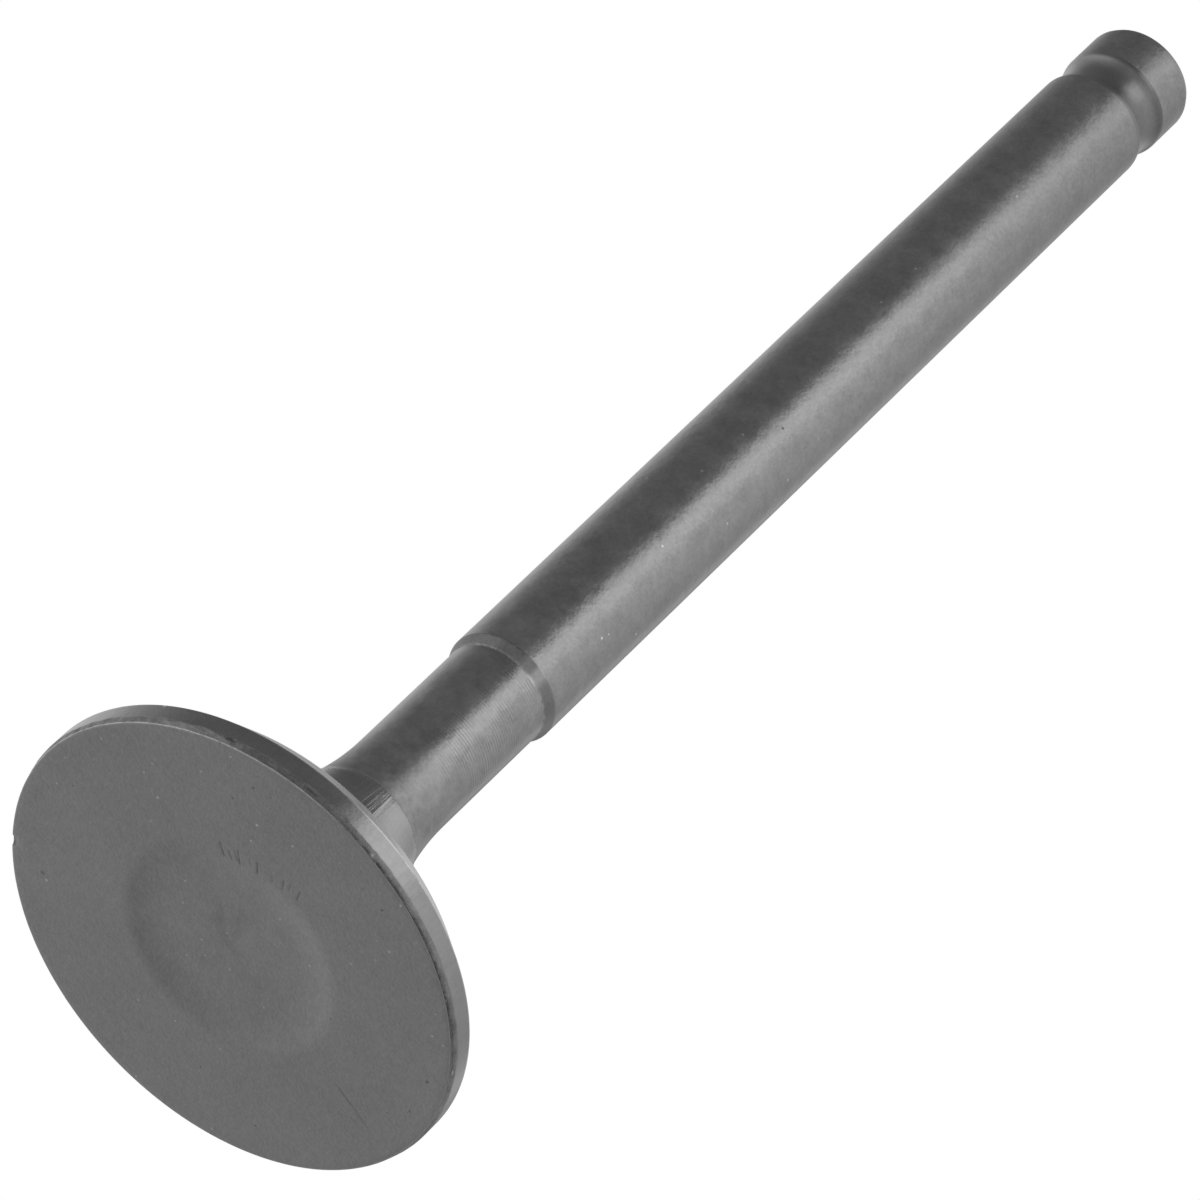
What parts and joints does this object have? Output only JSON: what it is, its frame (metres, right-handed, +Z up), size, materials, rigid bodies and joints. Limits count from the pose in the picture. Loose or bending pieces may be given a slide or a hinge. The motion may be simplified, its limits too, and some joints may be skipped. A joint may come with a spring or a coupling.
{
  "type": "engine valve",
  "caption": "Poppet valve turned from one piece: flat head with a shallow dish, conical seat, tulip neck, turned undercut, ground stem and one round keeper groove near the tip.",
  "frame": {"origin": "centre of the head's flat face, on the stem's axis", "axes": "+Z up the stem from the head's face to the tip; the valve is round, so X and Y are free"},
  "size_m": [0.0324, 0.0324, 0.109],
  "materials": {
    "valve": "dark treated steel, ground stem, turned neck, blasted head face"
  },
  "bodies": {
    "root": {"valve": "valve"}
  },
  "joints": []
}
